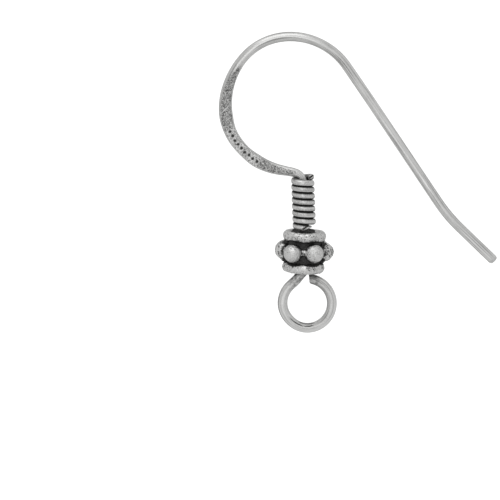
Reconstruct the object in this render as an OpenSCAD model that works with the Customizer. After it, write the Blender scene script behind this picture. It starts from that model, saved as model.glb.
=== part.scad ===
// Antiqued silver ear wire: one bent wire with a hammered bow, a coil of thin wire wound on its shank, and a
// granulated bead below the coil. It is drawn flat, with the shank along Y and the bow at the top, and then laid
// on the surface on the three points that it rests on. Sizes are millimetres and degrees.

/* [Wire] */
// Diameter of the round ear wire
wire_d = 0.72; // [0.6:0.01:0.85]
// Chamfer of the two cut ends
cut_chamfer = 0.05; // [0.02:0.01:0.12]

/* [Bow and tail] */
// Turn of the neck, from the shank into the bow
neck_turn = 78; // [70:1:88]
// Straight neck between its bend and the bow
neck_l = 1.14; // [0.8:0.02:2]
// Radius of the bow's round part at the wire's centre
bow_r = 5.01; // [4.4:0.01:6]
// Turn of the bow's round part, over the top to the tail
bow_turn = 106.3; // [100:0.1:114]
// Straight tail that passes through the ear
tail_l = 12.44; // [10:0.02:14]
// Turn of the tail's slight outward bend
tail_turn = 12.2; // [6:0.1:20]
// Radius of that bend
tail_bend_r = 12.5; // [6:0.5:16]
// Straight tip beyond the bend
tip_l = 3.65; // [3:0.05:6]

/* [Hammered stretch] */
// Radius of the bow's hammered part at the wire's centre
flat_bow_r = 5.17; // [4.4:0.01:6]
// Turn of the bow's hammered part, from the neck upwards
flat_turn = 120; // [100:1:130]
// Widest place of the hammered stretch
flat_w = 1.05; // [0.85:0.01:1.3]
// Thinnest place of the hammered stretch
flat_t = 0.46; // [0.35:0.01:0.56]

/* [Eye] */
// Turn of the shoulder under the bead
shoulder_turn = 52; // [44:1:60]
// Radius of the shoulder at the wire's centre
shoulder_r = 0.75; // [0.6:0.05:1]
// How far the wire has bent aside where it leaves the bead's bore
shoulder_shift = 0.04; // [0.03:0.01:0.1]
// Straight wire between the shoulder and the eye
shoulder_l = 1.1; // [0.8:0.02:1.4]
// Radius of the eye at the wire's centre
eye_r = 1.88; // [1.6:0.02:2.4]
// Turn of the eye, which stays slightly open
eye_turn = 303; // [290:1:306]
// Straight end of the eye, cut square
eye_end_l = 0.3; // [0.2:0.05:0.4]

/* [Coil] */
// Diameter of the coil's thin wire
coil_wire_d = 0.46; // [0.36:0.01:0.5]
// Rise of one turn
coil_pitch = 0.486; // [0.48:0.002:0.6]
// Number of turns
coil_turns = 7.86; // [5:0.01:10]
// Direction of the lower cut end round the shank, from the tail's side towards the viewer
coil_start = 62; // [40:1:80]
// How far the lower cut end dips into the bead's mouth
coil_dip = 0.2; // [0.05:0.01:0.22]
// Clearance between the coil and the shank
coil_gap = 0.03; // [0.02:0.005:0.05]

/* [Bead] */
// Length of the bead along the shank
bead_h = 3.14; // [3:0.01:3.6]
// Outer diameter of the two rims
rim_d = 3.2; // [3:0.02:3.4]
// Diameter of the wire that the rims are made of
rim_wire_d = 0.63; // [0.56:0.01:0.7]
// Depth of the shallow mouth inside each rim
mouth_depth = 0.15; // [0.1:0.01:0.22]
// Outer diameter of the core between the rims
core_d = 2.36; // [2.2:0.02:2.5]
// Number of granules round the core
granules = 5; // [4:1:5]
// Diameter of a granule
granule_d = 1.44; // [1.2:0.02:1.5]
// Diameter of the ring that the granules' centres lie on
granule_ring_d = 3.04; // [2.9:0.02:3.2]
// Lean of the bead on the shank, its upper end towards the tail
bead_lean = 4.5; // [0:0.5:6]
// How far the bead's centre lies beside the shank's, away from the tail
bead_shift = 0.08; // [0:0.01:0.12]
// Least clearance between the leaning bead's bore and the shank
bore_gap = 0.02; // [0.01:0.01:0.05]
// Clearance between the coil's lower end and the floor of the bead's mouth
seat_gap = 0.02; // [0.01:0.005:0.04]

/* [Hidden] */
$fn = 64;

bright_silver = [0.80, 0.80, 0.79];
coil_silver = [0.72, 0.72, 0.71];
dark_silver = [0.58, 0.58, 0.57];

wire_r = wire_d / 2;
// Neighbouring runs of wire stop this far short of each other, and a ball that is swollen by a hair joins them
seam = 0.02;
ball_swell = 0.008;

// Hammered stretch: sides of its section at each edge, and its length per ring
edge_steps = 8;
ring_step = 0.3;
// Columns: share of the stretch from the neck, share of the widening, share of the thinning
HAMMERED = [
    [0.00, 0.00, 0.06], [0.05, 0.00, 0.22], [0.09, 0.15, 0.42], [0.14, 0.38, 0.66], [0.22, 0.70, 0.90],
    [0.27, 0.84, 0.97], [0.35, 0.54, 1.00], [0.43, 0.62, 1.00], [0.52, 0.72, 1.00], [0.61, 1.00, 0.96],
    [0.75, 0.66, 0.84], [0.86, 0.34, 0.60], [0.96, 0.10, 0.22], [1.00, 0.00, 0.06]
];

// Coil: sides of its wire, rings per turn, and the arc over which the lower end dips
coil_sides = 10;
coil_rings = 20;
dip_arc = 80;
// The neck leaves the coil on the side away from the tail, and no more than this behind the coil's upper cut end
neck_side = 180;
neck_ahead = 60;

coil_wire_r = coil_wire_d / 2;
coil_r = wire_r + coil_gap + coil_wire_r;
mouth_floor = bead_h / 2 - mouth_depth;
coil_base = mouth_floor + seat_gap + coil_dip + coil_wire_r;
coil_end = coil_start + coil_turns * 360;
neck_angle = neck_side + 360 * floor((coil_end - neck_side + neck_ahead) / 360);

// Height of the coil's centre line where it has turned to an angle
function coil_height(angle) =
    let (left = max(0, 1 - (angle - coil_start) / dip_arc))
    coil_base + coil_pitch * (angle - coil_start) / 360 - coil_dip * left * left;

// The neck bends over the coil's last turn, and the shoulder starts just inside the bead's bore
shank_up = coil_height(neck_angle);
neck_r = coil_r;
bore_r = wire_r + bead_shift + mouth_floor * tan(bead_lean) + bore_gap;
shank_down = mouth_floor - sqrt(2 * shoulder_r * shoulder_shift - pow(shoulder_shift, 2));

// A run is [length, 0] if it is straight, [turn, radius] if it bends left, and [turn, -radius] if it bends right
shank_runs = [[shank_up, 0], [neck_turn, neck_r]];
flat_runs = [[neck_l, 0], [flat_turn, -flat_bow_r]];
tail_runs = [[bow_turn, -bow_r], [tail_l, 0], [tail_turn, tail_bend_r]];
eye_runs = [[shank_down, 0], [shoulder_turn, -shoulder_r], [shoulder_l, 0], [eye_turn, eye_r]];

// Place and heading [x, y, heading] at the end of a run that starts at the given one
function after(pose, run) =
    let (h = pose[2], turn = sign(run[1]) * run[0], r = run[1])
    r == 0
        ? [pose[0] + run[0] * cos(h), pose[1] + run[0] * sin(h), h]
        : [pose[0] + r * (sin(h + turn) - sin(h)), pose[1] - r * (cos(h + turn) - cos(h)), h + turn];
function along(pose, runs, i = 0) = i == len(runs) ? pose : along(after(pose, runs[i]), runs, i + 1);

// Centre of a bend of the given radius that starts at a place, positive to its left
function centre(pose, r) = [pose[0] - r * sin(pose[2]), pose[1] + r * cos(pose[2])];

// Where the ear wire touches the surface: the bead's lowest granule, the bow near the tail, and the tip
flat_start = along([0, 0, 90], concat(shank_runs, [flat_runs[0]]));
flat_centre = centre(flat_start, -flat_bow_r);
bow_start = after(flat_start, flat_runs[1]);
bow_centre = centre(bow_start, -bow_r);
tip_end = along(bow_start, concat(tail_runs, [[tip_l, 0]]));
eye_start = along([0, 0, -90], [for (i = [0:2]) eye_runs[i]]);
eye_centre = centre(eye_start, eye_r);

// Height of the shank above the surface at the bead, from the slopes at which the ear wire rests
function stand(lean) = sqrt(1 - lean * lean) * granule_ring_d / 2 + granule_d / 2 - lean[1] * bead_shift;
// Slopes [along the shank, across it] of the flat wire when it rests, found by repeated correction
function slopes(step) =
    step == 0 ? [0.1, 0.1] : let (
        last = slopes(step - 1),
        drop = stand(last) - wire_r
    ) [
        (drop - bow_centre[0] * last[1] - bow_r * norm(last)) / bow_centre[1],
        (drop - tip_end[1] * last[0]) / tip_end[0]
    ];
rest = slopes(20);
pitch = asin(rest[0]);
roll = asin(rest[1] / cos(pitch));
stand_h = stand(rest);

// Corners of the flat outline, to centre it over the origin once it lies at rest
function laid(x, y) = [x * cos(roll), y * cos(pitch) - x * sin(roll) * sin(pitch)];
left_side = laid(flat_centre[0] - flat_bow_r - flat_w / 2, flat_centre[1])[0];
right_side = laid(tip_end[0] + wire_r * abs(sin(tip_end[2])), tip_end[1])[0];
top_side = laid(bow_centre[0], bow_centre[1] + bow_r + wire_r)[1];
bottom_side = laid(eye_centre[0], eye_centre[1] - eye_r - wire_r)[1];

module resting() {
    translate([-(left_side + right_side) / 2, -(top_side + bottom_side) / 2, stand_h])
        rotate([-pitch, 0, 0]) rotate([0, roll, 0]) children();
}

// Straight wire from the origin along Y, with an inset at both ends for the balls that join the runs
module straight(length) {
    translate([0, seam, 0]) rotate([-90, 0, 0]) cylinder(d = wire_d, h = length - 2 * seam);
}

// Wire that bends left from the origin
module bend(turn, radius) {
    inset = seam / radius * 180 / PI;
    translate([-radius, 0, 0]) rotate(inset) rotate_extrude(angle = turn - 2 * inset)
        translate([radius, 0]) circle(d = wire_d);
}

module run_shape(run) {
    if (run[1] == 0) straight(run[0]);
    else if (run[1] > 0) bend(run[0], run[1]);
    else mirror([1, 0, 0]) bend(run[0], -run[1]);
}

module after_run(run) {
    if (run[1] == 0) translate([0, run[0], 0]) children();
    else translate([-run[1], 0, 0]) rotate(sign(run[1]) * run[0]) translate([run[1], 0, 0]) children();
}

// Lays round wire along the runs, with a ball after each, and puts the children at the end
module round_wire(runs, i = 0) {
    if (i == len(runs)) children();
    else {
        run_shape(runs[i]);
        after_run(runs[i]) {
            sphere(r = wire_r + ball_swell);
            round_wire(runs, i + 1) children();
        }
    }
}

// Straight last run with a chamfered cut
module cut_end(length) {
    rotate([-90, 0, 0]) rotate_extrude() polygon([
        [0, seam], [wire_r, seam], [wire_r, length - cut_chamfer], [wire_r - cut_chamfer, length], [0, length]
    ]);
}

// Solid through a list of rings that all have the same number of points
module skin(rings) {
    n = len(rings[0]);
    last = len(rings) - 1;
    sides = [for (i = [0:last - 1], j = [0:n - 1]) let (
        a = i * n + j, b = i * n + (j + 1) % n
    ) each [[a, a + n, b], [b, a + n, b + n]]];
    caps = [[for (j = [0:n - 1]) j], [for (j = [n - 1:-1:0]) last * n + j]];
    polyhedron(points = [for (ring = rings) each ring], faces = concat(sides, caps));
}

// Section of the hammered wire, an ellipse whose top and bottom are cut flat: [across the wire, through it]
function flat_section(width, thickness) =
    let (corner = asin(thickness / wire_d), step = 2 * corner / edge_steps)
    [for (side = [0, 180], i = [0:edge_steps]) let (a = side - corner + i * step)
        [width / 2 * cos(a), wire_r * sin(a)]];

function flat_ring(distance, total) =
    let (
        share = distance / total,
        width = wire_d + (flat_w - wire_d) * lookup(share, [for (row = HAMMERED) [row[0], row[1]]]),
        thickness = wire_d - (wire_d - flat_t) * lookup(share, [for (row = HAMMERED) [row[0], row[2]]]),
        turned = max(0, distance - neck_l) / flat_bow_r * 180 / PI,
        place = after([0, min(distance, neck_l), 90], [turned, -flat_bow_r]),
        heading = place[2]
    )
    [for (p = flat_section(width, thickness))
        [place[0] - p[0] * sin(heading), place[1] + p[0] * cos(heading), p[1]]];

module hammered_wire() {
    total = neck_l + flat_bow_r * flat_turn * PI / 180;
    rings = ceil(total / ring_step);
    step = (total - 2 * seam) / rings;
    skin([for (i = [0:rings]) flat_ring(seam + i * step, total)]);
}

module ear_hook() {
    color(bright_silver) resting() union() {
        sphere(r = wire_r + ball_swell);
        rotate(180) round_wire(eye_runs) cut_end(eye_end_l);
        round_wire(shank_runs) {
            hammered_wire();
            after_run(flat_runs[0]) after_run(flat_runs[1]) {
                sphere(r = wire_r + ball_swell);
                round_wire(tail_runs) cut_end(tip_l);
            }
        }
    }
}

function coil_ring(angle) =
    [for (j = [0:coil_sides - 1]) let (
        a = j * 360 / coil_sides, out = coil_r + coil_wire_r * cos(a)
    ) [out * cos(angle), coil_height(angle) + coil_wire_r * sin(a), out * sin(angle)]];

module coil_wrap() {
    rings = ceil(coil_turns * coil_rings);
    step = coil_turns * 360 / rings;
    color(coil_silver) resting() skin([for (i = [0:rings]) coil_ring(coil_start + i * step)]);
}

// Half section of the bead's core and rims, from the bore outwards
module bead_profile() {
    translate([bore_r, -mouth_floor]) square([core_d / 2 - bore_r, 2 * mouth_floor]);
    for (side = [-1, 1])
        translate([(rim_d - rim_wire_d) / 2, side * (bead_h - rim_wire_d) / 2]) circle(d = rim_wire_d);
}

module spacer_bead() {
    color(dark_silver) resting() translate([-bead_shift, 0, 0]) rotate(-bead_lean) {
        rotate([-90, 0, 0]) rotate_extrude() bead_profile();
        for (i = [0:granules - 1])
            rotate([0, i * 360 / granules, 0]) translate([0, 0, -granule_ring_d / 2]) sphere(d = granule_d);
    }
}

ear_hook();
coil_wrap();
spacer_bead();
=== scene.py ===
"""Antiqued silver ear wire: a bent wire with a hammered bow, a coil of thin wire and a granulated bead."""

import math

import bpy
import numpy as np
from mathutils import Matrix, Vector


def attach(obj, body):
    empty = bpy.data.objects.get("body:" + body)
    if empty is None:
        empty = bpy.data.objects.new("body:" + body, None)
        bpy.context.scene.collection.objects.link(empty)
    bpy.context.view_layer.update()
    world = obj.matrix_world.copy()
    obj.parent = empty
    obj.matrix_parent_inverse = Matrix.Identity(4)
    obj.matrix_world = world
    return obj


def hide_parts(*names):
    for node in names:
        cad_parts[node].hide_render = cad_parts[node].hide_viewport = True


# Everything is drawn flat in millimetres, with the shank along y, the tail on the right and z towards the
# viewer, and is then laid on the floor as it rests there.
MM = 0.001
# How it rests: tipped about x and about y, and shifted
PITCH, ROLL = math.radians(5.50407), math.radians(7.93681)
LIFT = np.array([-4.13081, -5.30017, 2.2075])

# Ear wire from the middle of the bead: runs are (length, 0) or (turn, radius), bending left if above 0
WIRE_R = 0.36
COIL_R = 0.62
EYE_RUNS = [(1.21, 0), (52, -0.75), (1.12, 0), (303, 1.895), (0.3, 0)]
SHANK_RUNS = [(5.4313, 0), (78, COIL_R)]
FLAT_RUNS = [(1.14, 0), (120, -5.17)]
TAIL_RUNS = [(106.3, -5.01), (12.44, 0), (12.2, 12.5), (3.65, 0)]
# Where the bends were eased: middle and reach along the wire from the bead, and how far to its left
BOW_EASED = [(12.2, 1.1, 0.040), (16.7, 2.6, -0.125), (25.0, 3.4, -0.070)]
EYE_EASED = [(6.1, 1.1, 0.062), (4.2, 1.8, 0.042), (1.8, 0.5, -0.12)]
SIDES = 80
PLAIN_STEP = 0.12
FINE_STEP = 0.03
EYE_CUT = [(1.0, -0.12), (0.965, -0.065), (0.89, -0.022), (0.79, 0.0), (0.5, 0.0)]
TAIL_CUT = [(1.0, -0.16), (0.975, -0.10), (0.90, -0.045), (0.78, -0.01), (0.5, 0.0)]
TAIL_SLANT = 0.42
EYE_SLANT = 0.42
EYE_LONGER = 0.10
CUT_ROUGH = 0.03
CUT_HOLLOW = 0.02
EYE_FULLER = 0.04
# Two scored lines inside the eye: from and to along the wire, direction round it, width in degrees
EYE_LINES = [(-8.4, -6.7, 153, 8), (-8.3, -5.8, 117, 8)]

# Hammered stretch: share of its length, width, thickness, and how far its face turns into the bow
HAMMERED = np.array([
    (0.00, 0.70, 0.70, 0), (0.05, 0.70, 0.66, 0), (0.09, 0.76, 0.61, 0), (0.14, 0.845, 0.55, 0),
    (0.22, 0.95, 0.49, 0), (0.27, 0.995, 0.47, 0), (0.35, 0.90, 0.46, 0), (0.43, 0.925, 0.46, 0),
    (0.52, 0.957, 0.46, 0), (0.61, 1.05, 0.47, 2), (0.75, 0.94, 0.51, 6), (0.84, 0.845, 0.58, 14),
    (0.92, 0.775, 0.68, 24), (0.95, 0.76, 0.74, 28), (1.00, 0.72, 0.90, 28),
])
EDGE_SOFT = 0.05
# Where the fuller wire of the eye thins to the shank's, and where and how far the neck is squeezed
FULL_FROM = -2.5
FULL_TO = -1.5
NECK_SQUEEZED = 0.11
NECK_BEFORE = 0.38
NECK_REACH = 0.46
# How deep the hammered face is sunk, sanded and dented
FACE_SUNK = 0.004
SAND_DEEP = 0.012
DENT_DEEP = 0.012
# Where the wire is darker: thicker oxide on the eye under the bead, and oxide with painted shade in the
# bead's mouth and under the neck
EYE_STAIN_AT = -1.9
MOUTH_AT = 1.6
UNDER_NECK_AT = 5.3
# A bright scratch over the hammered face
SCRATCH_AT = 7.9
SCRATCH_WIDE = 0.026
SCRATCH_LONG = 0.20
# Row of plain round punch marks on the hammered face
PUNCH_FROM = 3.10
PUNCH_STEP = 0.385
PUNCHES = 9
PUNCH_R = 0.105
PUNCH_DEEP = 0.04

# Coil of thin wire: half the depth and height of its strand, and degrees round the shank
STRAND_SIDES = 28
RINGS_PER_TURN = 84
STRAND_DEEP = 0.244
STRAND_OUT = 0.021
STRAND_TALL = 0.2415
STRAND_SQUARE = 0.84
STRAND_WAVER = 0.007
TURN_WAVER = 0.001
COIL_TURNS = 7.86
COIL_START = 62
COIL_REACH = 12
WEDGE_THIN = 0.30
LENS_THIN = 0.62
LENS_LEAN = 36
LENS_SLIT_WIDE = 0.045
LENS_SLIT_DEEP = 0.10
SLIT = ((-0.10, 1.81), (0.32, 2.07))
SLIT_DEEP = 0.07
COIL_PITCH = 0.486
COIL_BASE = 1.87
COIL_DIP = 0.05
DIP_ARC = 80
# End of the lens: share of its size that each ring has, and how far ahead of the last it lies
LENS_CUT = ((0.93, 0.02), (0.78, 0.03), (0.6, 0.03), (0.42, 0.03), (0.24, 0.03), (0.1, 0.03))

# Granulated bead, on a grid with this step and lowest corner
BEAD_STEP = 0.0345
BEAD_LOW = np.array([-2.36, -1.68, -2.36])
BEAD_LEAN = 4.5
BEAD_SHIFT = 0.08
BEAD_TOP = 1.57
RIM_R = 1.285
RIM_WIRE_R = 0.315
RIM_TALL = 0.365
RIM_LARGER = 0.03
CORE_R = 1.18
CORE_WAVE = 0.02
MOUTH_FLOOR = 1.42
BORE_R = 0.572
GRANULE_R = 0.72
GRANULE_RING = 1.52
GRANULES = 5
ROUGH_GRANULES = (1, 4)
BRIDGE_RING = 1.40
BRIDGE_HIGH = 0.07
BRIDGE_R = 0.22
BRIDGE_SLIM = 0.45
RIM_FILLET = 0.10
GRANULE_FILLET = 0.14
BRIDGE_FILLET = 0.16
PIT_FILLET = 0.03
PIT_GAP = 0.13
RIM_PITS = 230
ROUGH_PITS = 90
SMOOTH_PITS = 26
# How uneven the cast silver is: in wide and in fine lumps, and on the rough granules
CAST_WIDE = 0.012
CAST_FINE = 0.020
CAST_ROUGH = 0.035
# How far out of each point its room is felt for, and what each distance counts
ROOM_FELT = ((0.12, 0.3), (0.3, 0.4), (0.6, 0.3))
# Granules: turn round the bead from the floor's side, distance from the axis, height, radius
GRANULE_SPOTS = [
    (0, GRANULE_RING, 0.0, GRANULE_R), (72, 1.57, 0.0, 0.72), (145.3, 1.52, -0.01, 0.70),
    (210.2, 1.51, 0.06, 0.70), (287, 1.59, -0.03, 0.72),
]
# Lumps of solder above and below the rough granules: turn, distance from the axis, height, radius
SOLDER_LUMPS = [
    (72, 1.52, -0.60, 0.32), (72, 1.36, 0.66, 0.30), (287, 1.36, -0.66, 0.30), (287, 1.36, 0.66, 0.30),
]

# Silver where it is rubbed bright: drawn wire, and coil and bead
WIRE_BRIGHT = (0.635, 0.635, 0.63, 1)
WORKED_BRIGHT = (0.59, 0.59, 0.585, 1)
# Greys of the oxide as it thickens, and how rough bright and oxidised silver are
OXIDE_GREYS = ((0.18, 0.86), (0.42, 0.52), (0.66, 0.17))
OXIDE_BLACK = (0.095, 0.094, 0.093, 1)
BRIGHT_ROUGH = 0.38
OXIDE_ROUGH = 0.62
# Fineness of the clouds, specks and pitting, in blobs per metre
CLOUD_FINE = 1400.0
WIRE_SPECK_FINE = 16000.0
COIL_SPECK_FINE = 11000.0
BEAD_SPECK_FINE = 12000.0
SANDY_FINE = 11000.0
CAST_PIT_FINE = 7000.0
# Depth of the fine relief of each finish, in metres
WIRE_RELIEF = 0.00002
COIL_RELIEF = 0.000008
BEAD_RELIEF = 0.00003

# Studio
FLOOR_SEEN = 0.95
FLOOR_MIRRORED = 0.66
ROOM_MIRRORED = 0.86
BACK_POWER = 1.05
TOP_POWER = 0.30

# Photograph: size of its frame, and how it sees the flat ear wire
FRAME_PX = 500
PX_PER_MM = 13.2
SHANK_PX = (305.15, 251.35)
VIEW_TILT = math.radians(8.5)
VIEW_SPIN = math.radians(2.0)
VIEW_DISTANCE = 0.5
SENSOR_MM = 36


def laid(points):
    """Flat points in millimetres to places on the floor in metres."""
    x, y, z = np.asarray(points, float).T
    x, z = x * math.cos(ROLL) + z * math.sin(ROLL), z * math.cos(ROLL) - x * math.sin(ROLL)
    y, z = y * math.cos(PITCH) + z * math.sin(PITCH), z * math.cos(PITCH) - y * math.sin(PITCH)
    return (np.stack([x, y, z], -1) + LIFT) * MM


def smooth(value, low, high):
    """Share from 0 to 1 that the value has gone from low to high, eased at both ends."""
    t = np.clip((value - low) / (high - low), 0, 1)
    return t * t * (3 - 2 * t)


def grain(points, size, seed):
    """Smooth random values from -1 to 1 at the points, with blobs of about the given size."""
    table = np.random.default_rng(seed).uniform(-1, 1, (32, 32, 32))
    q = np.asarray(points) / size
    cell = np.floor(q).astype(int)
    t = q - cell
    t = t * t * (3 - 2 * t)
    total = np.zeros(len(q))
    for corner in np.ndindex(2, 2, 2):
        c = (cell + corner) % 32
        share = np.prod(np.where(np.array(corner), t, 1 - t), axis=1)
        total += share * table[c[:, 0], c[:, 1], c[:, 2]]
    return total


def new_piece(name, points, faces, values, material, node):
    """A mesh piece from flat points, with named values on its points, in place of a CAD node."""
    mesh = bpy.data.meshes.new(name)
    mesh.from_pydata(laid(points).tolist(), [], faces)
    for key, data in values.items():
        data = np.asarray(data, np.float32)
        kind = "FLOAT" if data.ndim == 1 else "FLOAT_VECTOR"
        attribute = mesh.attributes.new(key, kind, "POINT")
        attribute.data.foreach_set("value" if data.ndim == 1 else "vector", data.ravel())
    mesh.polygons.foreach_set("use_smooth", [True] * len(mesh.polygons))
    mesh.materials.append(material)
    mesh.update()
    piece = bpy.data.objects.new(name, mesh)
    bpy.context.scene.collection.objects.link(piece)
    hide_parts(node)
    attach(piece, "root")


def tube_faces(rings, sides):
    """Quads between rings of points, and a fan over each end round a last point of its own."""
    faces = []
    for i in range(rings - 1):
        a, b = i * sides, (i + 1) * sides
        faces += [(a + j, a + (j + 1) % sides, b + (j + 1) % sides, b + j) for j in range(sides)]
    first, last, a = rings * sides, rings * sides + 1, (rings - 1) * sides
    faces += [(first, (j + 1) % sides, j) for j in range(sides)]
    faces += [(last, a + j, a + (j + 1) % sides) for j in range(sides)]
    return faces


# Ear wire


def run_length(run):
    """Length of one run of the wire."""
    return run[0] if run[1] == 0 else math.radians(run[0]) * abs(run[1])


def total_length(runs):
    """Length of several runs of the wire."""
    return sum(run_length(run) for run in runs)


def trace(runs, heading, distances):
    """Place and heading in radians at each distance along the runs, from the origin."""
    place = np.zeros((len(distances), 2))
    facing = np.zeros(len(distances))
    x, y, h, gone = 0.0, 0.0, math.radians(heading), 0.0
    for amount, radius in runs:
        length = run_length((amount, radius))
        here = distances >= gone - 1e-9
        s = distances[here] - gone
        if radius == 0:
            place[here] = np.stack([x + s * math.cos(h), y + s * math.sin(h)], 1)
            facing[here] = h
            x, y = x + length * math.cos(h), y + length * math.sin(h)
        else:
            t = h + s / radius
            place[here] = np.stack([x + radius * (np.sin(t) - math.sin(h)),
                                    y - radius * (np.cos(t) - math.cos(h))], 1)
            facing[here] = t
            end = h + length / radius
            x, y = x + radius * (math.sin(end) - math.sin(h)), y - radius * (math.cos(end) - math.cos(h))
            h = end
        gone += length
    return place, facing


def ease(place, heading, distances, pushes):
    """Push a course smoothly to its left round each middle along it."""
    left = np.stack([-np.sin(heading), np.cos(heading)], 1)
    for middle, reach, push in pushes:
        place += push * np.exp(-((distances - middle) / reach) ** 2)[:, None] * left


def wire_course():
    """Distance from the bead, place and heading of each ring, from the eye's cut end to the tail's tip."""
    eye = total_length(EYE_RUNS)
    up = SHANK_RUNS + FLAT_RUNS + TAIL_RUNS
    flat_from = total_length(SHANK_RUNS)
    flat_to = flat_from + total_length(FLAT_RUNS)
    whole = total_length(up)
    down = np.arange(0, eye, PLAIN_STEP)
    down = np.append(down[:-2], eye)
    above = np.concatenate([
        np.arange(PLAIN_STEP, flat_from, PLAIN_STEP / 2), np.arange(flat_from, flat_to, FINE_STEP),
        np.arange(flat_to, whole - 0.45, PLAIN_STEP), [whole],
    ])
    low_place, low_heading = trace(EYE_RUNS, -90, down)
    high_place, high_heading = trace(up, 90, above)
    ease(low_place, low_heading, down, EYE_EASED)
    ease(high_place, high_heading, above, BOW_EASED)
    return (
        np.concatenate([-down[::-1], above]),
        np.concatenate([low_place[::-1], high_place]),
        np.concatenate([low_heading[::-1] + math.pi, high_heading]),
        flat_from, flat_to,
    )


def soft_limit(value, limit, soft):
    """Value held within the limit, with a rounded shoulder."""
    size = np.abs(value)
    over = limit - size
    held = limit - 0.5 * (over + np.sqrt(over * over + soft * soft))
    return np.sign(value) * np.minimum(size, np.maximum(held, 0))


def punch_depth(along, across):
    """How deep the punch marks are, from 0 to 1, at places on the hammered face."""
    depth = np.zeros(len(along))
    for i in range(PUNCHES):
        gap = np.hypot(along - PUNCH_FROM - i * PUNCH_STEP, across - 0.03 * math.sin(2.4 * i))
        depth = np.maximum(depth, 1 - smooth(gap, PUNCH_R * 0.4, PUNCH_R * 1.35))
    return depth


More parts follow.
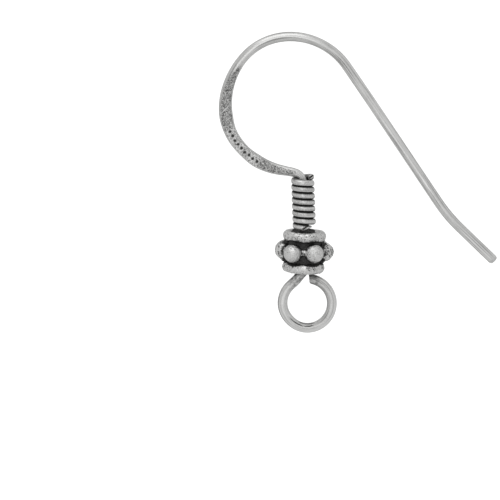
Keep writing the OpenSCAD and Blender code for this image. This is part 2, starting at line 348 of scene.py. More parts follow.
def ear_wire(material):
    """The bent wire, round but for its hammered stretch, with both ends cut."""
    s, place, heading, flat_from, flat_to = wire_course()
    a = np.arange(SIDES) * 2 * math.pi / SIDES
    share = np.clip((s - flat_from) / (flat_to - flat_from), 0, 1)
    hit = (s > flat_from) & (s < flat_to)
    width, thick, turned = (np.interp(share, HAMMERED[:, 0], HAMMERED[:, k]) for k in (1, 2, 3))
    width = np.where(hit, width, 2 * WIRE_R)
    turned = np.radians(np.where(hit, turned, 0))

    full = 1 + EYE_FULLER * (1 - smooth(s, FULL_FROM, FULL_TO))[:, None]
    across = width[:, None] / 2 * np.cos(a) * full
    through = WIRE_R * np.sin(a) * full
    c, n = np.cos(turned)[:, None], np.sin(turned)[:, None]
    tilted_across, tilted = across * c + through * n, through * c - across * n
    pressed = soft_limit(tilted, thick[:, None] / 2, EDGE_SOFT)
    pressed = np.where(hit[:, None], pressed, tilted)
    face = smooth(np.abs(tilted) - np.abs(pressed), 0.0, 0.03) * hit[:, None]
    across, through = tilted_across * c - pressed * n, tilted_across * n + pressed * c

    # The neck is squeezed thinner on the outside of its bend
    neck = np.exp(-((s - (flat_from - NECK_BEFORE)) / NECK_REACH) ** 2)[:, None]
    outside = smooth(-np.cos(a), -0.1, 0.9)
    across = across + NECK_SQUEEZED * neck * outside

    points = np.zeros((len(s), SIDES, 3))
    points[..., 0] = place[:, 0, None] - np.sin(heading)[:, None] * across
    points[..., 1] = place[:, 1, None] + np.cos(heading)[:, None] * across
    points[..., 2] = through
    flat = points.reshape(-1, 3)

    # Sandy face and punched marks
    at = np.repeat(s, SIDES)
    along = at - flat_from
    over = tilted_across.ravel()
    upper = (tilted > 0).ravel()
    worked = face.ravel()
    sand = 0.85 * grain(flat, 0.045, 3) + 0.28 * grain(flat, 0.08, 4)
    row_to = PUNCH_FROM + PUNCHES * PUNCH_STEP
    clean = smooth(along, PUNCH_FROM - 0.25, PUNCH_FROM - 0.1)
    clean *= 1 - smooth(along, row_to - 0.25, row_to - 0.1)
    marks = punch_depth(along, over) * worked * upper
    dents = grain(flat, 0.7, 5)
    sink = worked * (SAND_DEEP * sand + DENT_DEEP * dents + FACE_SUNK) + PUNCH_DEEP * marks
    flat[:, 2] -= np.where(upper, 1, -1) * sink

    oxide = 0.105 + worked * 0.035 + worked * (0.33 - 0.16 * clean + 0.38 * sand) + marks
    scratch = np.abs((along - SCRATCH_AT) * 0.8 + (over - 0.05) * 0.75) < SCRATCH_WIDE
    scratch = scratch & (np.abs(over + 0.02) < SCRATCH_LONG) & upper & hit.repeat(SIDES)
    oxide = np.where(scratch, 0.0, oxide)

    # Oxide stains near the bead and the eye's cut end, the scored lines inside the eye, and oxide with
    # painted shade in the bead's mouth and under the neck
    stain = 0.4 * grain(flat, 0.16, 11) + 0.6 * grain(flat, 0.07, 12)
    near_bead = 1 - smooth(np.abs(at - EYE_STAIN_AT), 0.6, 1.7)
    at_cut = 1 - smooth(at - s[0], 0.4, 1.2)
    lines = np.zeros(len(flat))
    turn = np.tile(np.degrees(a), len(s))
    for first, last, where, wide in EYE_LINES:
        there = smooth(at, first, first + 0.4) * (1 - smooth(at, last - 0.4, last))
        broken = np.clip(1.1 + 0.9 * grain(flat, 0.35, 13), 0, 1)
        lines = np.maximum(lines, there * broken * (1 - smooth(np.abs(turn - where), wide * 0.5, wide)))
    # Painted shade with oxide: darker on the shank under the neck and in the bead's mouth
    under_neck_oxide_and_shade = 1 - smooth(np.abs(at - UNDER_NECK_AT), 0.2, 0.6)
    in_mouth_oxide_and_shade = 1 - smooth(np.abs(at - MOUTH_AT), 0.35, 0.6)
    oxide = oxide + (0.18 + 0.36 * stain) * near_bead + (0.08 + 0.34 * stain) * at_cut
    oxide = oxide + 0.12 * under_neck_oxide_and_shade + 0.7 * in_mouth_oxide_and_shade + 0.62 * lines

    # Cut ends
    rings = flat.reshape(len(s), SIDES, 3)
    run = np.stack([at, np.tile(np.cos(a), len(s)), np.tile(np.sin(a), len(s))], 1)
    tips = []
    for end, sign in ((0, -1), (-1, 1)):
        middle = np.array([*place[end], 0.0])
        ahead = np.array([math.cos(heading[end]), math.sin(heading[end]), 0.0]) * sign
        rim = rings[end]
        caps = []
        for size, out in EYE_CUT if sign < 0 else TAIL_CUT:
            ring = middle + (rim - middle) * size + ahead * out
            if sign > 0:
                slant = TAIL_SLANT * (ring - middle)[:, 2:] + 0.3 * TAIL_SLANT * WIRE_R
                ring = ring - ahead * slant
            else:
                slant = (ring - middle) @ np.array([-ahead[1], ahead[0], 0.0])
                ring = ring + ahead * (EYE_LONGER - EYE_SLANT * slant)[:, None]
            if size < 0.75:
                ring = ring + ahead * (CUT_ROUGH * grain(ring, 0.14, 8) - CUT_HOLLOW)[:, None]
            caps.append(ring)
        tips.append((caps, np.mean(caps[-1], axis=0) - ahead * 0.01))
    (eye_caps, eye_tip), (tail_caps, tail_tip) = tips
    stack = np.concatenate([np.array(eye_caps[::-1]), rings[1:-1], np.array(tail_caps)])
    count = len(stack)
    extra = len(eye_caps)

    def padded(data, cut):
        """Values of the end rings carried over the cut ends, with the cut's own value added on them."""
        head = np.repeat(data[:1], extra, axis=0)
        tail = np.repeat(data[-1:], extra, axis=0)
        head[: extra - 2] += cut
        tail[3:] += 0.3 * cut
        if cut:
            eye_cut = np.array(eye_caps[:1:-1]).reshape(-1, 3)
            tail_cut = np.array(tail_caps[3:]).reshape(-1, 3)
            head[: extra - 2] += 0.3 * grain(eye_cut, 0.12, 9).reshape(-1, SIDES)
            tail[3:] += 0.35 * grain(tail_cut, 0.12, 9).reshape(-1, SIDES)
        return np.concatenate([head, data[1:-1], tail])

    oxide_all = padded(oxide.reshape(len(s), SIDES), 0.25).ravel()
    face_all = padded(face, 0.0).ravel()
    sizes = [size for size, _ in EYE_CUT[::-1]] + [1.0] * (len(s) - 2) + [size for size, _ in TAIL_CUT]
    shrink = np.stack([np.ones(count), sizes, sizes], 1)[:, None]
    run_all = (padded(run.reshape(len(s), SIDES, 3), 0.0) * shrink).reshape(-1, 3)
    points = np.concatenate([stack.reshape(-1, 3), [eye_tip], [tail_tip]])
    data = {
        "oxide": np.append(oxide_all, [oxide_all[0], oxide_all[-1]]),
        "sandy": np.append(face_all, [0, 0]),
        "run": np.concatenate([run_all, run_all[:1] * (1, 0, 0), run_all[-1:] * (1, 0, 0)]),
    }
    new_piece("ear_wire", points, tube_faces(count, SIDES), data, material, "ear_hook")


# Coil


def coil(material):
    """Thin wire wound on the shank, pinched to a wedge where it starts and to a lens where it ends."""
    sides = STRAND_SIDES
    count = int(COIL_TURNS * RINGS_PER_TURN)
    angle = COIL_START + np.linspace(-COIL_REACH, COIL_TURNS * 360, count)
    t = np.radians(angle)
    left = np.clip(1 - (angle - COIL_START) / DIP_ARC, 0, 1)
    height = COIL_BASE + COIL_PITCH * (angle - COIL_START) / 360 - COIL_DIP * left**2
    line = np.stack([np.cos(t), height, np.sin(t)], 1)
    height = height + TURN_WAVER * grain(line, 0.9, 21) * np.clip(1 - 3 * left, 0, 1)
    out = COIL_R + STRAND_OUT + STRAND_WAVER * grain(line, 0.6, 22)
    arc = np.radians(angle - angle[0]) * COIL_R
    wedge = smooth(arc, -0.10, 0.52)
    lens = smooth(arc[-1] - arc, 0.0, 0.30)
    covered = 1 - smooth(angle, angle[-1] - 400, angle[-1] - 350)
    carried = smooth(angle, angle[0] + 350, angle[0] + 400)

    a = np.arange(sides) * 2 * math.pi / sides
    across, tall = (size * np.sign(part) * np.abs(part) ** STRAND_SQUARE
                    for size, part in ((STRAND_DEEP, np.cos(a)), (STRAND_TALL, np.sin(a))))
    c, n = math.cos(math.radians(LENS_LEAN)), math.sin(math.radians(LENS_LEAN))
    along_lens, over_lens = across * c + tall * n, tall * c - across * n
    rings = np.zeros((count, sides, 3))
    oxide = np.zeros((count, sides))
    for i in range(count):
        v = over_lens * (LENS_THIN + (1 - LENS_THIN) * lens[i])
        u = along_lens * (0.97 + 0.03 * lens[i])
        x, y = u * c - v * n, u * n + v * c
        y = STRAND_TALL - (STRAND_TALL - y) * (WEDGE_THIN + (1 - WEDGE_THIN) * wedge[i])
        rings[i, :, 0] = (out[i] + x) * math.cos(t[i])
        rings[i, :, 1] = height[i] + y
        rings[i, :, 2] = (out[i] + x) * math.sin(t[i])
        above = smooth(np.sin(a), 0.53, 0.71) * covered[i]
        below = smooth(-np.sin(a), 0.53, 0.71) * max(carried[i], 0.5 * smooth(arc[i], 0.7, 1.2))
        inward = smooth(-np.cos(a), 0.0, 0.6) * max(covered[i], 0.25)
        oxide[i] = 0.12 + np.maximum(above + below, inward)
    flat = rings.reshape(-1, 3)

    # Slit that the cutter left beside the wedge
    slit = np.array(SLIT)
    reach = slit[1] - slit[0]
    share = np.clip((flat[:, :2] - slit[0]) @ reach / (reach @ reach), 0, 1)
    gap = np.linalg.norm(flat[:, :2] - slit[0] - share[:, None] * reach, axis=1)
    cut = (1 - smooth(gap, 0.035, 0.085)) * (flat[:, 2] > 0.3) * (np.repeat(arc, sides) < 1.2)
    pull = flat * (1, 0, 1)
    pull /= np.linalg.norm(pull, axis=1)[:, None]
    outer = smooth(np.hypot(flat[:, 0], flat[:, 2]), COIL_R - 0.06, COIL_R + 0.06)
    flat -= pull * (SLIT_DEEP * cut * outer)[:, None]
    lip = (np.repeat(arc, sides) < 0.85) * (np.tile(np.sin(a), count) < 0.3)
    oxide = np.maximum(oxide.ravel() * (1 - lip), 1.1 * cut)

    # End of the lens: bright lips with a dark slit between them
    run = np.stack([np.repeat(arc, sides), np.tile(np.cos(a), count), np.tile(np.sin(a), count)], 1)
    stack = [flat.reshape(count, sides, 3)]
    shade = [oxide.reshape(count, sides)]
    runs = [run.reshape(count, sides, 3)]
    ahead = np.array([-math.sin(t[-1]), 0.0, math.cos(t[-1])])
    rim = rings[-1]
    middle = rim.mean(0)
    side_way = np.array([math.cos(t[-1]) * -n, c, math.sin(t[-1]) * -n])
    for size, lift in LENS_CUT:
        ring = middle + (rim - middle) * size
        dark = np.exp(-(((ring - middle) @ side_way) / LENS_SLIT_WIDE) ** 2)
        ring = ring + ahead * (lift - LENS_SLIT_DEEP * dark)[:, None]
        stack.append(ring[None])
        shade.append((0.12 + 1.0 * dark * (size < 0.9))[None])
        runs.append(runs[0][-1:])
    points = np.concatenate(stack)
    total = len(points)
    points = np.concatenate([points.reshape(-1, 3), [rings[0].mean(0)], [points[-1].mean(0)]])
    data = {
        "oxide": np.append(np.concatenate(shade).ravel(), [0.6, 1.0]),
        "run": np.concatenate([np.concatenate(runs).reshape(-1, 3), run[:1], run[-1:]]),
    }
    new_piece("coil", points, tube_faces(total, sides), data, material, "coil_wrap")


# Bead


def unpinched(field, depth):
    """Fill one corner of each square of the grid whose corners are inside and outside by turns."""
    while True:
        found = 0
        for b, c in ((0, 1), (0, 2), (1, 2)):
            corners = []
            for db, dc in ((0, 0), (0, 1), (1, 1), (1, 0)):
                cut = [slice(None)] * 3
                cut[b], cut[c] = slice(db, field.shape[b] - 1 + db), slice(dc, field.shape[c] - 1 + dc)
                corners.append(field[tuple(cut)])
            inside = [corner < 0 for corner in corners]
            crossed = (inside[0] == inside[2]) & (inside[1] == inside[3]) & (inside[0] != inside[1])
            found += crossed.sum()
            for first in (0, 1):
                open_pair = crossed & ~inside[first]
                nearer = corners[first] < corners[first + 2]
                corners[first][open_pair & nearer] = -depth
                corners[first + 2][open_pair & ~nearer] = -depth
        if not found:
            return field


def surface_net(field, low, step):
    """Points and quads of the surface where a field on a grid goes from negative inside to positive."""
    shape = np.array(field.shape) - 1
    total = np.zeros((*shape, 3))
    hits = np.zeros(tuple(shape))
    edges = []
    for axis in range(3):
        b, c = [k for k in range(3) if k != axis]
        start = field.take(range(field.shape[axis] - 1), axis)
        end = field.take(range(1, field.shape[axis]), axis)
        at = np.argwhere((start < 0) != (end < 0))
        f0, f1 = start[tuple(at.T)], end[tuple(at.T)]
        point = at.astype(float)
        point[:, axis] += f0 / (f0 - f1)
        around = []
        for db, dc in ((-1, -1), (0, -1), (0, 0), (-1, 0)):
            cell = at.copy()
            cell[:, b] += db
            cell[:, c] += dc
            np.add.at(total, tuple(cell.T), point)
            np.add.at(hits, tuple(cell.T), 1)
            around.append(cell)
        edges.append((axis, f0 < 0, around))
    used = hits > 0
    number = np.full(tuple(shape), -1)
    number[used] = np.arange(used.sum())
    points = total[used] / hits[used][:, None] * step + low
    faces = []
    for axis, inside, around in edges:
        quad = np.stack([number[tuple(cell.T)] for cell in around], 1)
        flip = inside if axis != 1 else ~inside
        quad[~flip] = quad[~flip][:, ::-1]
        faces.append(quad)
    return points, np.concatenate(faces)


def outer_skin(points, faces):
    """The largest connected part of a surface, without the closed bubbles inside it."""
    sides = np.sort(np.stack([faces, np.roll(faces, -1, 1)], -1), -1).reshape(-1, 2)
    _, edge, uses = np.unique(sides @ (len(points), 1), return_inverse=True, return_counts=True)
    order = np.argsort(edge, kind="stable")
    joined = order[uses[edge[order]] == 2].reshape(-1, 2) // 4
    label = np.arange(len(faces))
    while True:
        lower = label.copy()
        np.minimum.at(lower, joined.ravel(), np.repeat(label[joined].min(1), 2))
        lower = lower[lower]
        if (lower == label).all():
            break
        label = lower
    used, kept = np.unique(faces[label == np.bincount(label).argmax()], return_inverse=True)
    return points[used], kept.reshape(-1, 4)


def blended(a, b, width):
    """Union of two distances with a fillet of about the given width."""
    h = np.clip(0.5 + 0.5 * (b - a) / width, 0, 1)
    return b * (1 - h) + a * h - width * h * (1 - h)


def granule_places():
    """Centre and radius of each granule, a little uneven, the first one pointing at the floor."""
    places = []
    for turn, away, height, radius in GRANULE_SPOTS:
        t = math.radians(turn)
        places.append((np.array((-away * math.sin(t), height, -away * math.cos(t))), radius))
    return places


def bead_distance(p):
    """Signed distance to the surface of the bead and its solder, before its pits; its axis is y."""
    away = np.hypot(p[:, 0], p[:, 2])
    turn = np.arctan2(p[:, 0], p[:, 2])
    high = np.abs(p[:, 1])
    d = np.maximum(away - CORE_R - CORE_WAVE * np.cos(GRANULES * turn), high - MOUTH_FLOOR)
    wave = 0.014 * np.sin(3 * turn + 1.0) + 0.010 * np.sin(7 * turn)
    upper = smooth(p[:, 1], -0.2, 0.2)
    over = high - (BEAD_TOP - RIM_TALL)
    rim = np.hypot(away - RIM_R - RIM_LARGER * upper - wave * 0.6, over * RIM_WIRE_R / RIM_TALL)
    rim = (rim - RIM_WIRE_R - wave * 0.4) * 0.95
    d = blended(d, rim, RIM_FILLET)
    balls = np.full(len(p), 9.0)
    for centre, radius in granule_places():
        balls = np.minimum(balls, np.linalg.norm(p - centre, axis=1) - radius)
    d = blended(d, balls, GRANULE_FILLET)
    for i in range(GRANULES):
        t = 2 * math.pi * (i + 0.5) / GRANULES
        lump = np.array([-BRIDGE_RING * math.sin(t), BRIDGE_HIGH, -BRIDGE_RING * math.cos(t)])
        across = (p - lump) @ np.array([math.cos(t), 0.0, -math.sin(t)])
        gap = np.linalg.norm(p - lump, axis=1) ** 2 - across**2
        d = blended(d, np.sqrt(gap + (BRIDGE_SLIM * across) ** 2) - BRIDGE_R, BRIDGE_FILLET)
    for around, ring, height, size in SOLDER_LUMPS:
        t = math.radians(around)
        lump = np.array([-ring * math.sin(t), height, -ring * math.cos(t)])
        d = blended(d, np.linalg.norm(p - lump, axis=1) - size, GRANULE_FILLET)
    return np.maximum(d, BORE_R - away)


def bead_pits():
    """Centres and sizes of small casting pits on the rims and on the sides of the granules."""
    rng = np.random.default_rng(44)
    pits = []
    for side in (-1, 1):
        for _ in range(RIM_PITS):
            t, a = rng.uniform(0, 2 * math.pi), rng.uniform(-0.6, 2.4)
            away = RIM_R + (RIM_WIRE_R + 0.02) * math.cos(a)
            y = side * (BEAD_TOP - RIM_WIRE_R + (RIM_WIRE_R + 0.02) * math.sin(a) * rng.choice([1, 0.6]))
            place, radius = (away * math.sin(t), y, away * math.cos(t)), rng.uniform(0.022, 0.055)
            if all(math.dist(place, other) > PIT_GAP for other, _ in pits):
                pits.append((place, radius))
    for number, (centre, radius) in enumerate(granule_places()):
        outward = centre / np.linalg.norm(centre)
        rough = number in ROUGH_GRANULES
        for _ in range(ROUGH_PITS if rough else SMOOTH_PITS):
            d = rng.normal(size=3)
            d /= np.linalg.norm(d)
            if d @ outward < -0.2 or (not rough and d @ outward > 0.85):
                continue
            pits.append((tuple(centre + d * (radius + 0.015)), rng.uniform(0.03, 0.09 if rough else 0.05)))
    return pits


def bead(material):
    """Core, two rims and granules soldered into one, with fillets and small casting pits."""
    step, low = BEAD_STEP, BEAD_LOW
    size = np.ceil(-2 * low / step).astype(int)
    axes = [low[k] + step * np.arange(size[k]) for k in range(3)]
    grid = np.stack(np.meshgrid(*axes, indexing="ij"), -1).reshape(-1, 3)
    d = bead_distance(grid)
    close = np.abs(d) < 0.12
    near = grid[close]
    d[close] += CAST_WIDE * grain(near, 0.42, 41) + CAST_FINE * grain(near, 0.10, 42)
    spots = granule_places()
    sides = np.min([np.linalg.norm(near - spots[i][0], axis=1) for i in ROUGH_GRANULES], axis=0)
    d[close] += CAST_ROUGH * grain(near, 0.15, 43) * (1 - smooth(sides, 0.75, 0.95))
    field = d.reshape(size)
    pits = bead_pits()
    for centre, radius in pits:
        reach = radius + 0.08
        block = tuple(slice(*np.searchsorted(axes[k], (centre[k] - reach, centre[k] + reach)))
                      for k in range(3))
        local = np.stack(np.meshgrid(*(axes[k][block[k]] for k in range(3)), indexing="ij"), -1)
        field[block] = -blended(-field[block], np.linalg.norm(local - centre, axis=-1) - radius, PIT_FILLET)
    points, faces = outer_skin(*surface_net(unpinched(field, 0.2 * step), low, step))

    # Recess: how little room there is outside each point
    normal = np.zeros_like(points)
    for k in range(3):
        nudge = np.zeros(3)
        nudge[k] = 0.02
        normal[:, k] = bead_distance(points + nudge) - bead_distance(points - nudge)
    normal /= np.linalg.norm(normal, axis=1)[:, None]
    recess = np.zeros(len(points))
    for reach, weight in ROOM_FELT:
        recess += weight * np.clip(1 - bead_distance(points + normal * reach) / reach, 0, 1)
    pitted = np.zeros(len(points))
    order = np.argsort(points[:, 0])
    for centre, radius in pits:
        span = np.searchsorted(points[order, 0], (centre[0] - radius - 0.03, centre[0] + radius + 0.03))
        spot = order[slice(*span)]
        pitted[spot] = np.maximum(pitted[spot], 1 - smooth(
            np.linalg.norm(points[spot] - centre, axis=1), radius * 0.8, radius * 1.15))

    # Oxide: dark round the bore, between granules and in the pits, and mottled on the rough places; oxide
    # with painted shade in the mouth
    away = np.hypot(points[:, 0], points[:, 2])
    core = (1 - smooth(away, CORE_R + 0.02, CORE_R + 0.14)) * (np.abs(points[:, 1]) < 1.3)
    # Painted shade with oxide in the mouth: it reaches further on the floor's side and less far on the
    # right
    edge = 1.03 + 0.22 * smooth(-points[:, 2] / np.maximum(away, 0.1), 0.45, 0.85)
    edge = edge - 0.20 * smooth(points[:, 0] / np.maximum(away, 0.1), 0.3, 0.9)
    mouth_oxide_and_shade = (1 - smooth(away - edge, 0.0, 0.10)) * smooth(np.abs(points[:, 1]), 1.25, 1.31)
    gaps = np.stack([np.linalg.norm(points - centre, axis=1) - radius for centre, radius in spots])
    own, beyond = gaps.argmin(0), np.sort(gaps, 0)[1]
    on_granule = gaps.min(0) < 0.12
    rough = np.isin(own, ROUGH_GRANULES) & on_granule
    mottle = 0.6 * grain(points, 0.12, 57) + 0.4 * grain(points, 0.07, 58)
    beyond = beyond + 0.14 * mottle
    bridged = smooth(np.abs(points[:, 1] - BRIDGE_HIGH) + 0.08 * mottle, 0.12, 0.24)
    crowded = np.where(rough, 1 - smooth(beyond, 0.50, 0.82), (1 - smooth(beyond, 0.36, 0.52)) * bridged)
    crowded *= on_granule
    speckled = np.clip(mottle, 0, 1) * np.where(rough, 0.9, 0.75) * on_granule
    speckled *= 1 - smooth(beyond, 0.35, np.where(rough, 1.3, 0.75))
    on_bridge = smooth(away, 1.26, 1.34) * (1 - smooth(np.abs(points[:, 1] - BRIDGE_HIGH), 0.22, 0.32))
    on_bridge = on_bridge * smooth(gaps.min(0), 0.0, 0.06)
    on_rim = smooth(np.abs(points[:, 1]), 0.85, 0.95) * smooth(away, 1.2, 1.3)
    inner_half = on_rim * (1 - smooth(np.abs(points[:, 1]), 1.10, 1.35))
    oxide = np.maximum(np.maximum(smooth(recess, 0.24, 0.52), crowded), np.maximum(core, mouth_oxide_and_shade))
    specks = smooth(grain(points, 0.065, 69), 0.32, 0.5) * smooth(grain(points, 0.5, 62), -0.5, 0.3)
    oxide = oxide * (1 - 0.8 * on_bridge) + (0.28 + 0.55 * mottle) * on_bridge
    mottled = mottle * (0.12 + 0.26 * on_rim + 0.14 * inner_half + 0.42 * rough)
    specked = specks * (0.10 + 0.8 * rough + 0.25 * on_bridge + 0.25 * inner_half)
    oxide = oxide + 0.75 * pitted + 0.10 + mottled + 0.08 * inner_half + speckled + specked

    # The bead leans a little on the wire
    c, n = math.cos(math.radians(-BEAD_LEAN)), math.sin(math.radians(-BEAD_LEAN))
    x, y = points[:, 0] * c - points[:, 1] * n - BEAD_SHIFT, points[:, 0] * n + points[:, 1] * c
    placed = np.stack([x, y, points[:, 2]], 1)
    new_piece("bead", placed, faces.tolist(), {"oxide": oxide}, material, "spacer_bead")


# Materials


# Colour sockets of a mix node
MIX_A, MIX_B, MIX_RESULT = 6, 7, 2


def socket(group, name, kind, out=False):
    """Give a node group an input or an output."""
    group.interface.new_socket(name, in_out="OUTPUT" if out else "INPUT", socket_type=kind)


def linked(tree, kind, links=None, **settings):
    """A node with its settings, and with its inputs joined to sockets or set to values."""
    node = tree.nodes.new(kind)
    for key, value in settings.items():
        setattr(node, key, value)
    for key, value in (links or {}).items():
        target = node.inputs[key]
        if isinstance(value, bpy.types.NodeSocket):
            tree.links.new(value, target)
        else:
            target.default_value = value
    return node


def maths(tree, operation, *values, **settings):
    """What a maths node makes of the values."""
    node = linked(tree, "ShaderNodeMath", dict(enumerate(values)), operation=operation, **settings)
    return node.outputs[0]


def antiqued_group():
    """Colour and roughness of silver: oxidised where the oxide value is high, rubbed bright elsewhere."""
    tree = bpy.data.node_groups.new("antiqued silver", "ShaderNodeTree")
    socket(tree, "Oxide", "NodeSocketFloat")
    socket(tree, "Bright", "NodeSocketColor")
    socket(tree, "Cloud", "NodeSocketFloat")
    socket(tree, "Speck", "NodeSocketFloat")
    socket(tree, "Speck Size", "NodeSocketFloat")
    socket(tree, "Color", "NodeSocketColor", out=True)
    socket(tree, "Roughness", "NodeSocketFloat", out=True)
    given = tree.nodes.new("NodeGroupInput")
    result = tree.nodes.new("NodeGroupOutput")
    place = tree.nodes.new("ShaderNodeTexCoord").outputs["Object"]
    cloud = linked(tree, "ShaderNodeTexNoise", {"Vector": place, "Scale": CLOUD_FINE, "Detail": 3.0})
    speck = linked(tree, "ShaderNodeTexNoise", {
        "Vector": place, "Scale": given.outputs["Speck Size"], "Detail": 2.0, "Roughness": 0.65})
    wide = maths(tree, "MULTIPLY", maths(tree, "ADD", cloud.outputs["Fac"], -0.5), given.outputs["Cloud"])
    fine = maths(tree, "MULTIPLY", maths(tree, "ADD", speck.outputs["Fac"], -0.5), given.outputs["Speck"])
    both = maths(tree, "ADD", wide, fine)
    mask = maths(tree, "ADD", both, given.outputs["Oxide"], use_clamp=True)
    dark = linked(tree, "ShaderNodeValToRGB", {"Fac": mask})
    ramp = dark.color_ramp
    ramp.elements[0].position, ramp.elements[0].color = 0.0, (1, 1, 1, 1)
    ramp.elements[1].position, ramp.elements[1].color = 1.0, OXIDE_BLACK
    for position, grey in OXIDE_GREYS:
        stop = ramp.elements.new(position)
        stop.color = (grey, grey, grey * 0.995, 1)
    colour = linked(tree, "ShaderNodeMix", {
        "Factor": 1.0, MIX_A: given.outputs["Bright"], MIX_B: dark.outputs["Color"]},
        data_type="RGBA", blend_type="MULTIPLY")
    rough = linked(tree, "ShaderNodeMapRange", {
        "Value": mask, "From Min": 0.0, "From Max": 1.0,
        "To Min": BRIGHT_ROUGH, "To Max": OXIDE_ROUGH})
    tree.links.new(colour.outputs[MIX_RESULT], result.inputs["Color"])
    tree.links.new(rough.outputs["Result"], result.inputs["Roughness"])
    return tree


# Layers of lines along a drawn wire: broad streaks, dark lines, light lines, and where the lines are
# strong; each with the stretch of its noise, the range it is taken from, and its amount
LINE_LAYERS = [
    ((0.16, 2.4, 2.4), 0.30, 0.70, 0.13),
    ((0.20, 3.9, 3.9), 0.51, 0.60, 0.27),
    ((0.20, 3.1, 3.1), 0.50, 0.60, -0.18),
    ((0.30, 0.9, 0.9), 0.30, 0.55, 1.0),
]


def drawn_group():
    """Fine lines along a drawn wire, from its run value: distance along, and direction round it."""
    tree = bpy.data.node_groups.new("drawn lines", "ShaderNodeTree")
    socket(tree, "Run", "NodeSocketVector")
    socket(tree, "Lines", "NodeSocketFloat", out=True)
    given = tree.nodes.new("NodeGroupInput")
    result = tree.nodes.new("NodeGroupOutput")
    parts = []
    for stretch, low, high, amount in LINE_LAYERS:
        place = linked(tree, "ShaderNodeVectorMath", {0: given.outputs["Run"], 1: stretch},
                       operation="MULTIPLY").outputs[0]
        noise = linked(tree, "ShaderNodeTexNoise", {"Vector": place, "Scale": 1.0, "Detail": 1.0})
        parts.append(linked(tree, "ShaderNodeMapRange", {
            "Value": noise.outputs["Fac"], "From Min": low, "From Max": high,
            "To Min": 0.0, "To Max": amount}).outputs["Result"])
    broad, dark, light, worn = parts
    total = maths(tree, "MULTIPLY_ADD", maths(tree, "ADD", dark, light), worn, broad)
    tree.links.new(total, result.inputs["Lines"])
    return tree


def pitted_group():
    """Height of fine sandy pitting."""
    tree = bpy.data.node_groups.new("fine pitting", "ShaderNodeTree")
    socket(tree, "Size", "NodeSocketFloat")
    socket(tree, "Height", "NodeSocketFloat", out=True)
    given = tree.nodes.new("NodeGroupInput")
    result = tree.nodes.new("NodeGroupOutput")
    place = tree.nodes.new("ShaderNodeTexCoord").outputs["Object"]
    fine = linked(tree, "ShaderNodeTexNoise", {
        "Vector": place, "Scale": given.outputs["Size"], "Detail": 3.0, "Roughness": 0.6})
    tree.links.new(fine.outputs["Fac"], result.inputs["Height"])
    return tree


def silver_base(name):
    """A material with its shader, and its oxide value from the mesh."""
    material = bpy.data.materials.new(name)
    material.use_nodes = True
    tree = material.node_tree
    shader = tree.nodes["Principled BSDF"]
    shader.inputs["Metallic"].default_value = 1.0
    shader.inputs["Specular Tint"].default_value = (0.72, 0.72, 0.72, 1)
    oxide = linked(tree, "ShaderNodeAttribute", attribute_name="oxide")
    return material, tree, shader, oxide.outputs["Fac"]


def placed_group(tree, group, values):
    """A node group put to use in a material."""
    return linked(tree, "ShaderNodeGroup", values, node_tree=group)


def finish_silver(tree, shader, antiqued, height, distance):
    """Join the antiqued colour and roughness to the shader, and the height as fine relief."""
    bump = linked(tree, "ShaderNodeBump", {"Height": height, "Distance": distance})
    tree.links.new(antiqued.outputs["Color"], shader.inputs["Base Color"])
    tree.links.new(antiqued.outputs["Roughness"], shader.inputs["Roughness"])
    tree.links.new(bump.outputs["Normal"], shader.inputs["Normal"])


def wire_silver(groups):
    """Drawn silver wire, with a sandy face where it is hammered."""
    material, tree, shader, oxide = silver_base("drawn silver")
    run = linked(tree, "ShaderNodeAttribute", attribute_name="run")
    sandy = linked(tree, "ShaderNodeAttribute", attribute_name="sandy")
    lines = placed_group(tree, groups["drawn"], {"Run": run.outputs["Vector"]}).outputs["Lines"]
    lines = maths(tree, "MULTIPLY", lines, maths(tree, "SUBTRACT", 1.0, sandy.outputs["Fac"]))
    antiqued = placed_group(tree, groups["antiqued"], {
        "Oxide": maths(tree, "ADD", lines, oxide), "Bright": WIRE_BRIGHT, "Cloud": 0.20,
        "Speck": maths(tree, "ADD", sandy.outputs["Fac"], 0.4), "Speck Size": WIRE_SPECK_FINE})
    pits = placed_group(tree, groups["pitted"], {"Size": SANDY_FINE}).outputs["Height"]
    pits = maths(tree, "MULTIPLY", pits, sandy.outputs["Fac"])
    height = maths(tree, "MULTIPLY_ADD", lines, 0.9, pits)
    finish_silver(tree, shader, antiqued, height, WIRE_RELIEF)
    return material


def coil_silver(groups):
    """Thin silver wire, oxidised dark between the turns."""
    material, tree, shader, oxide = silver_base("coil silver")
    run = linked(tree, "ShaderNodeAttribute", attribute_name="run")
    lines = placed_group(tree, groups["drawn"], {"Run": run.outputs["Vector"]}).outputs["Lines"]
    stained = maths(tree, "MULTIPLY_ADD", lines, 1.1, oxide)
    antiqued = placed_group(tree, groups["antiqued"], {
        "Oxide": stained, "Bright": WORKED_BRIGHT, "Cloud": 0.20, "Speck": 0.95,
        "Speck Size": COIL_SPECK_FINE})
    finish_silver(tree, shader, antiqued, lines, COIL_RELIEF)
    return material


def bead_silver(groups):
    """Cast and granulated silver, oxidised black in its recesses and pits, with painted shade in its mouth.
    """
    material, tree, shader, oxide = silver_base("granulated silver")
    antiqued = placed_group(tree, groups["antiqued"], {
        "Oxide": oxide, "Bright": WORKED_BRIGHT, "Cloud": 0.35, "Speck": 1.5,
        "Speck Size": BEAD_SPECK_FINE})
    pits = placed_group(tree, groups["pitted"], {"Size": CAST_PIT_FINE}).outputs["Height"]
    finish_silver(tree, shader, antiqued, pits, BEAD_RELIEF)
    return material


# Studio


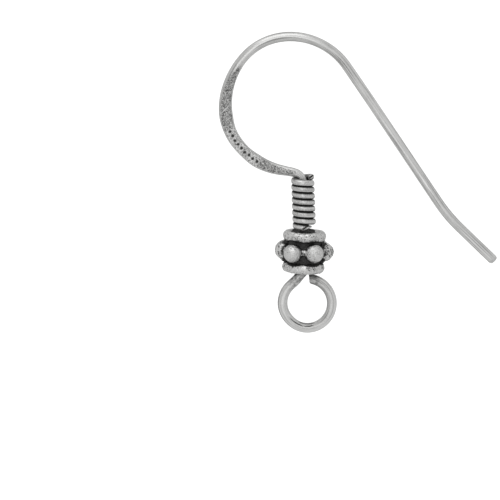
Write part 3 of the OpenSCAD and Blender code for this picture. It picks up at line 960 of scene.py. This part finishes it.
def studio_floor():
    """Plain white floor, a little darker where the metal mirrors it than where it is seen straight on."""
    side = 1.5
    mesh = bpy.data.meshes.new("floor")
    mesh.from_pydata([(-side, -side, 0), (side, -side, 0), (side, side, 0), (-side, side, 0)], [],
                     [(0, 1, 2, 3)])
    floor = bpy.data.objects.new("floor", mesh)
    bpy.context.scene.collection.objects.link(floor)
    material = bpy.data.materials.new("white floor")
    material.use_nodes = True
    tree = material.node_tree
    shader = tree.nodes["Principled BSDF"]
    shader.inputs["Base Color"].default_value = (0.25, 0.25, 0.25, 1)
    shader.inputs["Roughness"].default_value = 0.9
    shader.inputs["Specular IOR Level"].default_value = 0.0
    seen = linked(tree, "ShaderNodeLightPath").outputs["Is Camera Ray"]
    glow = linked(tree, "ShaderNodeMapRange", {
        "Value": seen, "To Min": FLOOR_MIRRORED, "To Max": FLOOR_SEEN}).outputs["Result"]
    shade = linked(tree, "ShaderNodeCombineColor", {"Red": glow, "Green": glow, "Blue": glow})
    tree.links.new(shade.outputs["Color"], shader.inputs["Emission Color"])
    shader.inputs["Emission Strength"].default_value = 1.0
    mesh.materials.append(material)


def soft_light(name, place, size, power):
    """A round softbox that faces the middle of the floor."""
    light = bpy.data.lights.new(name, "AREA")
    light.shape, light.size, light.energy = "DISK", size, power
    lamp = bpy.data.objects.new(name, light)
    lamp.location = place
    lamp.rotation_euler = (-Vector(place)).to_track_quat("-Z", "Y").to_euler()
    bpy.context.scene.collection.objects.link(lamp)


def studio_light():
    """White surround, a little darker where the metal mirrors it, and two large softboxes."""
    world = bpy.data.worlds.new("studio")
    world.use_nodes = True
    tree = world.node_tree
    seen = linked(tree, "ShaderNodeLightPath").outputs["Is Camera Ray"]
    glow = linked(tree, "ShaderNodeMapRange", {"Value": seen, "To Min": ROOM_MIRRORED, "To Max": 1.0})
    tree.links.new(glow.outputs["Result"], tree.nodes["Background"].inputs["Strength"])
    tree.nodes["Background"].inputs["Color"].default_value = (1, 1, 1, 1)
    bpy.context.scene.world = world
    soft_light("back softbox", (-0.05, 0.55, 0.25), 0.60, BACK_POWER)
    soft_light("top softbox", (0.02, 0.10, 0.62), 0.35, TOP_POWER)


def flat_direction(vector):
    """A direction of the flat drawing, as it lies on the floor."""
    ends = laid([(0, 0, 0), tuple(vector)])
    return Vector((ends[1] - ends[0]).tolist()).normalized()


def add_camera():
    """Long lens that looks at the flat ear wire as the photograph does."""
    right = np.array([math.cos(VIEW_SPIN), -math.sin(VIEW_SPIN), 0])
    upward = np.array([math.sin(VIEW_SPIN), math.cos(VIEW_SPIN), 0])
    viewer = np.array([0, 0, 1.0])
    towards = viewer * math.cos(VIEW_TILT) + upward * math.sin(VIEW_TILT)
    up = upward * math.cos(VIEW_TILT) - viewer * math.sin(VIEW_TILT)
    over = (FRAME_PX / 2 - SHANK_PX[0]) / PX_PER_MM
    rise = (SHANK_PX[1] - FRAME_PX / 2) / PX_PER_MM / math.cos(VIEW_TILT)
    target = Vector(laid([right * over + upward * rise])[0].tolist())
    back, top = flat_direction(towards), flat_direction(up)
    side = top.cross(back)
    data = bpy.data.cameras.new("camera")
    data.sensor_width = SENSOR_MM
    data.lens = SENSOR_MM * VIEW_DISTANCE / (FRAME_PX / PX_PER_MM * MM)
    data.clip_start, data.clip_end = 0.01, 20
    camera = bpy.data.objects.new("camera", data)
    turn = Matrix((side, top, back)).transposed().to_4x4()
    camera.matrix_world = Matrix.Translation(target + back * VIEW_DISTANCE) @ turn
    bpy.context.scene.collection.objects.link(camera)
    bpy.context.scene.camera = camera


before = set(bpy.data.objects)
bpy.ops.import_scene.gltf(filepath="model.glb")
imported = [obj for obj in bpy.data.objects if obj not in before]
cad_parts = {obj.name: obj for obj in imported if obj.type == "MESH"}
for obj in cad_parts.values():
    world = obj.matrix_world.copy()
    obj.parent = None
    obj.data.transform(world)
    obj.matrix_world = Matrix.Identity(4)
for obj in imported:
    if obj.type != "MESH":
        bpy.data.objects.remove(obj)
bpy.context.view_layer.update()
add_camera()
bpy.context.scene.view_settings.view_transform = "Standard"
GROUPS = {"antiqued": antiqued_group(), "drawn": drawn_group(), "pitted": pitted_group()}
ear_wire(wire_silver(GROUPS))
coil(coil_silver(GROUPS))
bead(bead_silver(GROUPS))
studio_floor()
studio_light()
